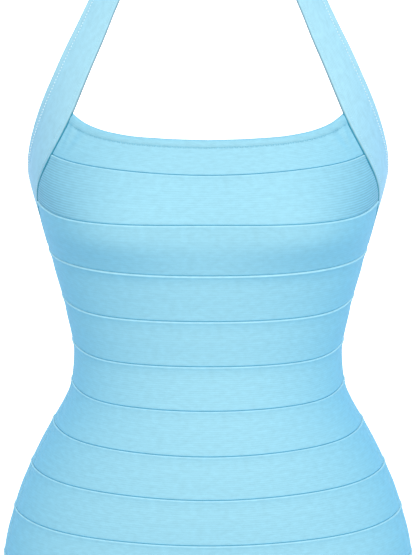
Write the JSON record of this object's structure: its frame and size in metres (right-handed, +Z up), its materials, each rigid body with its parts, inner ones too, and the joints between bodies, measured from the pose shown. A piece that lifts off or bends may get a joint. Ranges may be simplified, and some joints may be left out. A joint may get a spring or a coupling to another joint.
{
  "type": "halter-neck bodycon dress",
  "caption": "Halter-neck mini bodycon dress of joined horizontal knit bands, filled out as worn, with a square neckline and a low straight back.",
  "frame": {"origin": "inner face of the strap at the back of the neck, where the neck holds the dress up", "axes": "+X to the wearer's left, +Y to the back, +Z up"},
  "size_m": [0.3614, 0.2482, 0.7972],
  "materials": {
    "band_knit": "satin",
    "strap_knit": "satin"
  },
  "bodies": {
    "root": {"front_band_01": "band_knit", "front_band_02": "band_knit", "front_band_03": "band_knit", "front_band_04": "band_knit", "front_band_05": "band_knit", "front_band_06": "band_knit", "front_band_07": "band_knit", "front_band_08": "band_knit", "front_band_09": "band_knit", "front_band_10": "band_knit", "front_band_11": "band_knit", "front_band_12": "band_knit", "front_band_13": "band_knit", "front_band_14": "band_knit", "front_band_15": "band_knit", "front_band_16": "band_knit", "back_top_band": "strap_knit", "back_band_04": "band_knit", "back_band_05": "band_knit", "back_band_06": "band_knit", "back_band_07": "band_knit", "back_band_08": "band_knit", "back_band_09": "band_knit", "back_band_10": "band_knit", "back_band_11": "band_knit", "back_band_12": "band_knit", "back_band_13": "band_knit", "back_band_14": "band_knit", "back_band_15": "band_knit", "back_band_16": "band_knit", "halter_strap": "strap_knit"}
  },
  "joints": []
}
